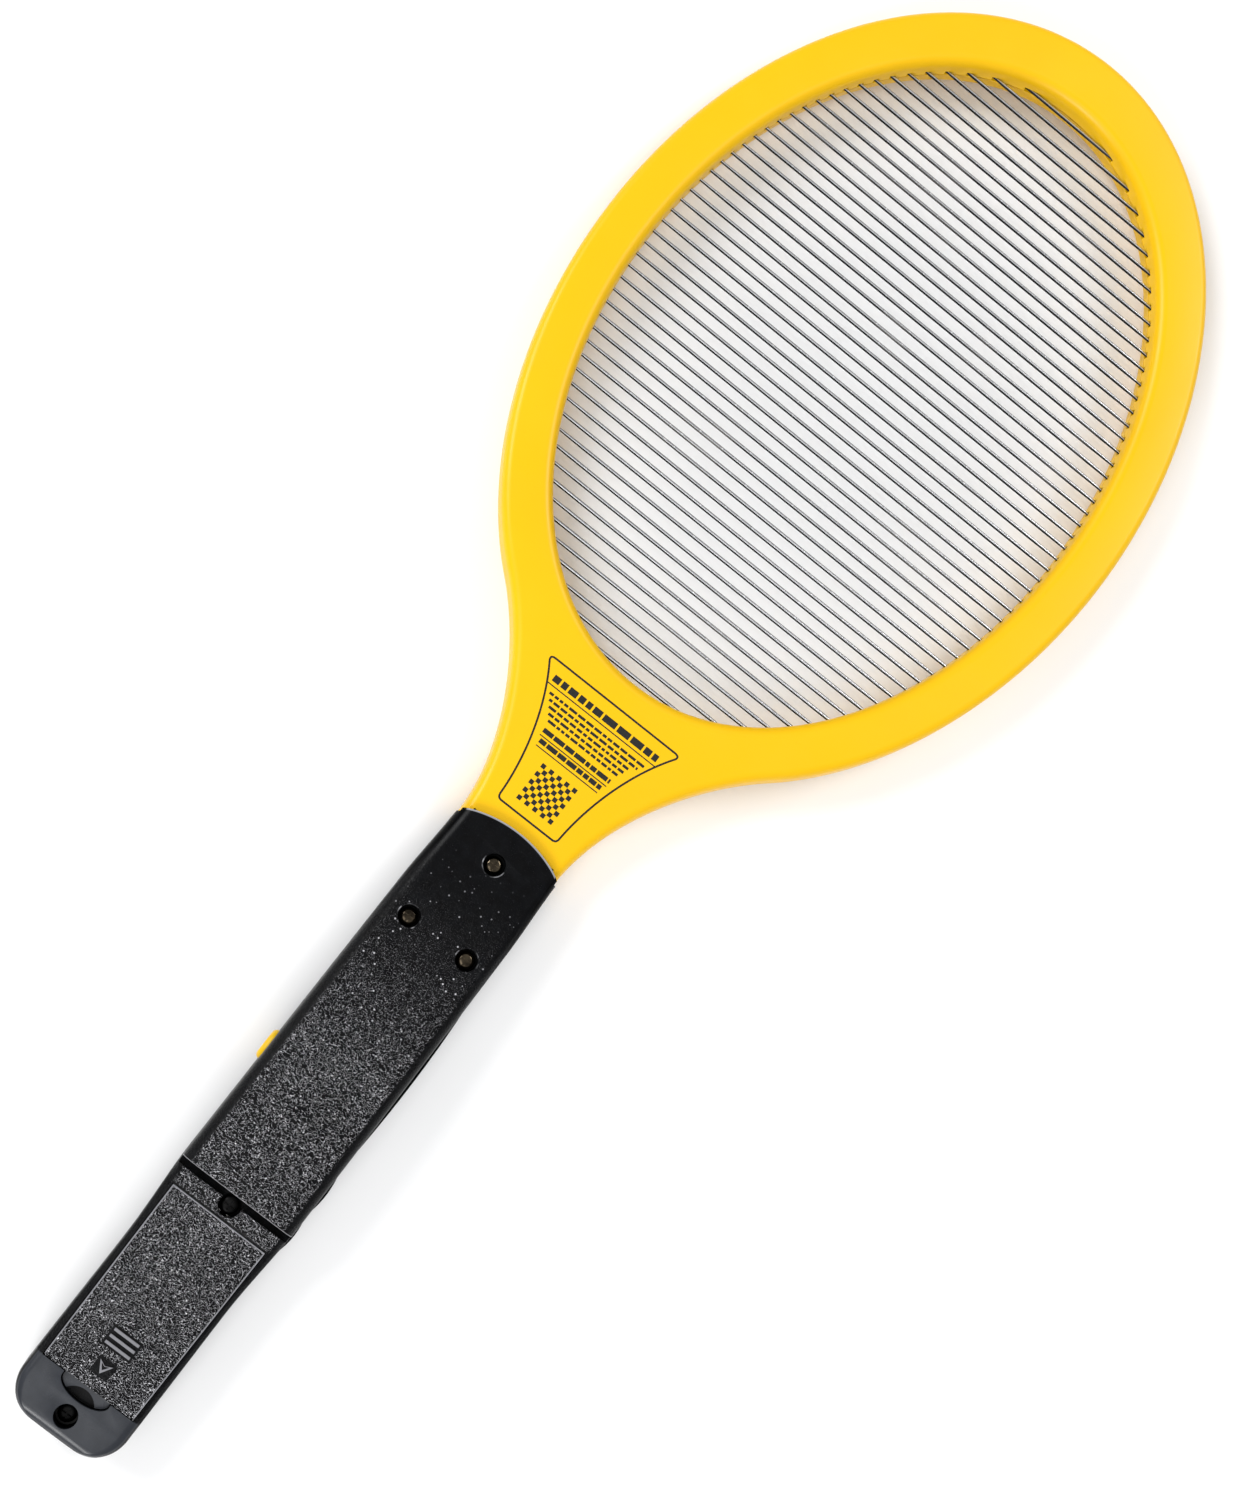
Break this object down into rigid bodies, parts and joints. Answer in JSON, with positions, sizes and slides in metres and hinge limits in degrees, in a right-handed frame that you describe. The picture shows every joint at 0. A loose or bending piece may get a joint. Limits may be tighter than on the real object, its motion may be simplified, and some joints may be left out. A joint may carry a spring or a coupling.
{
  "type": "electric fly swatter",
  "caption": "Racket-shaped battery fly swatter with an oval head of parallel steel rods, a flared neck, a grained handle with a side push button and a rear battery door.",
  "frame": {"origin": "middle of the swatter's footprint as it lies on its front, at the height of the table", "axes": "+Y from the handle's butt to the tip of the head, +Z out of the back face, which carries the battery door, and +X towards the side with the finger grips"},
  "size_m": [0.196, 0.53, 0.025],
  "materials": {
    "yellow_plastic": "moulded, satin gloss",
    "black_plastic": "fine moulded leather grain",
    "door_plastic": "fine moulded leather grain",
    "button_plastic": "moulded, satin",
    "grid_steel": "bright drawn wire",
    "screw_steel": "zinc plated",
    "contact_nickel": "nickel plated",
    "board_laminate": "solder-masked laminate",
    "ferrite": "sintered ferrite",
    "winding_tape": "polyester tape over copper",
    "capacitor_coating": "dipped coating",
    "component_black": "moulded epoxy",
    "resistor_body": "lacquered",
    "led_lens": "clear tinted epoxy",
    "switch_housing": "moulded",
    "red_wire": "PVC sleeve over copper",
    "black_wire": "PVC sleeve over copper"
  },
  "bodies": {
    "swatter": {"head_back_frame": "yellow_plastic", "head_front_frame": "yellow_plastic", "grid_positive": "grid_steel", "grid_negative": "grid_steel", "handle_back_shell": "black_plastic", "handle_front_shell": "black_plastic", "case_screw_1": "screw_steel", "case_screw_2": "screw_steel", "case_screw_3": "screw_steel", "case_screw_4": "screw_steel", "case_screw_5": "screw_steel", "push_switch": "switch_housing", "circuit_board": "board_laminate", "transformer_core": "ferrite", "transformer_winding": "winding_tape", "hv_capacitor": "capacitor_coating", "transistor": "component_black", "diode_1": "component_black", "diode_2": "component_black", "resistor_1": "resistor_body", "resistor_2": "resistor_body", "led_indicator": "led_lens", "grid_lead_positive": "red_wire", "grid_lead_negative": "black_wire", "contact_bridge": "contact_nickel", "contact_positive": "contact_nickel", "contact_negative": "contact_nickel", "battery_lead_positive": "red_wire", "battery_lead_negative": "black_wire"},
    "door": {"battery_door": "door_plastic"},
    "button": {"power_button": "button_plastic", "switch_plunger": "button_plastic"}
  },
  "joints": [
    {"name": "button_press", "type": "slide", "parent": "swatter", "child": "button", "axis": [1, 0, 0], "range_m": [0, 0.0012], "stiffness_N_per_m": 600, "springref_m": -0.002},
    {"name": "door_tilt", "type": "hinge", "parent": "swatter", "child": "door", "pos_m": [0, -0.1928, 0.02], "axis": [-1, 0, 0], "range_deg": [0, 75]}
  ]
}
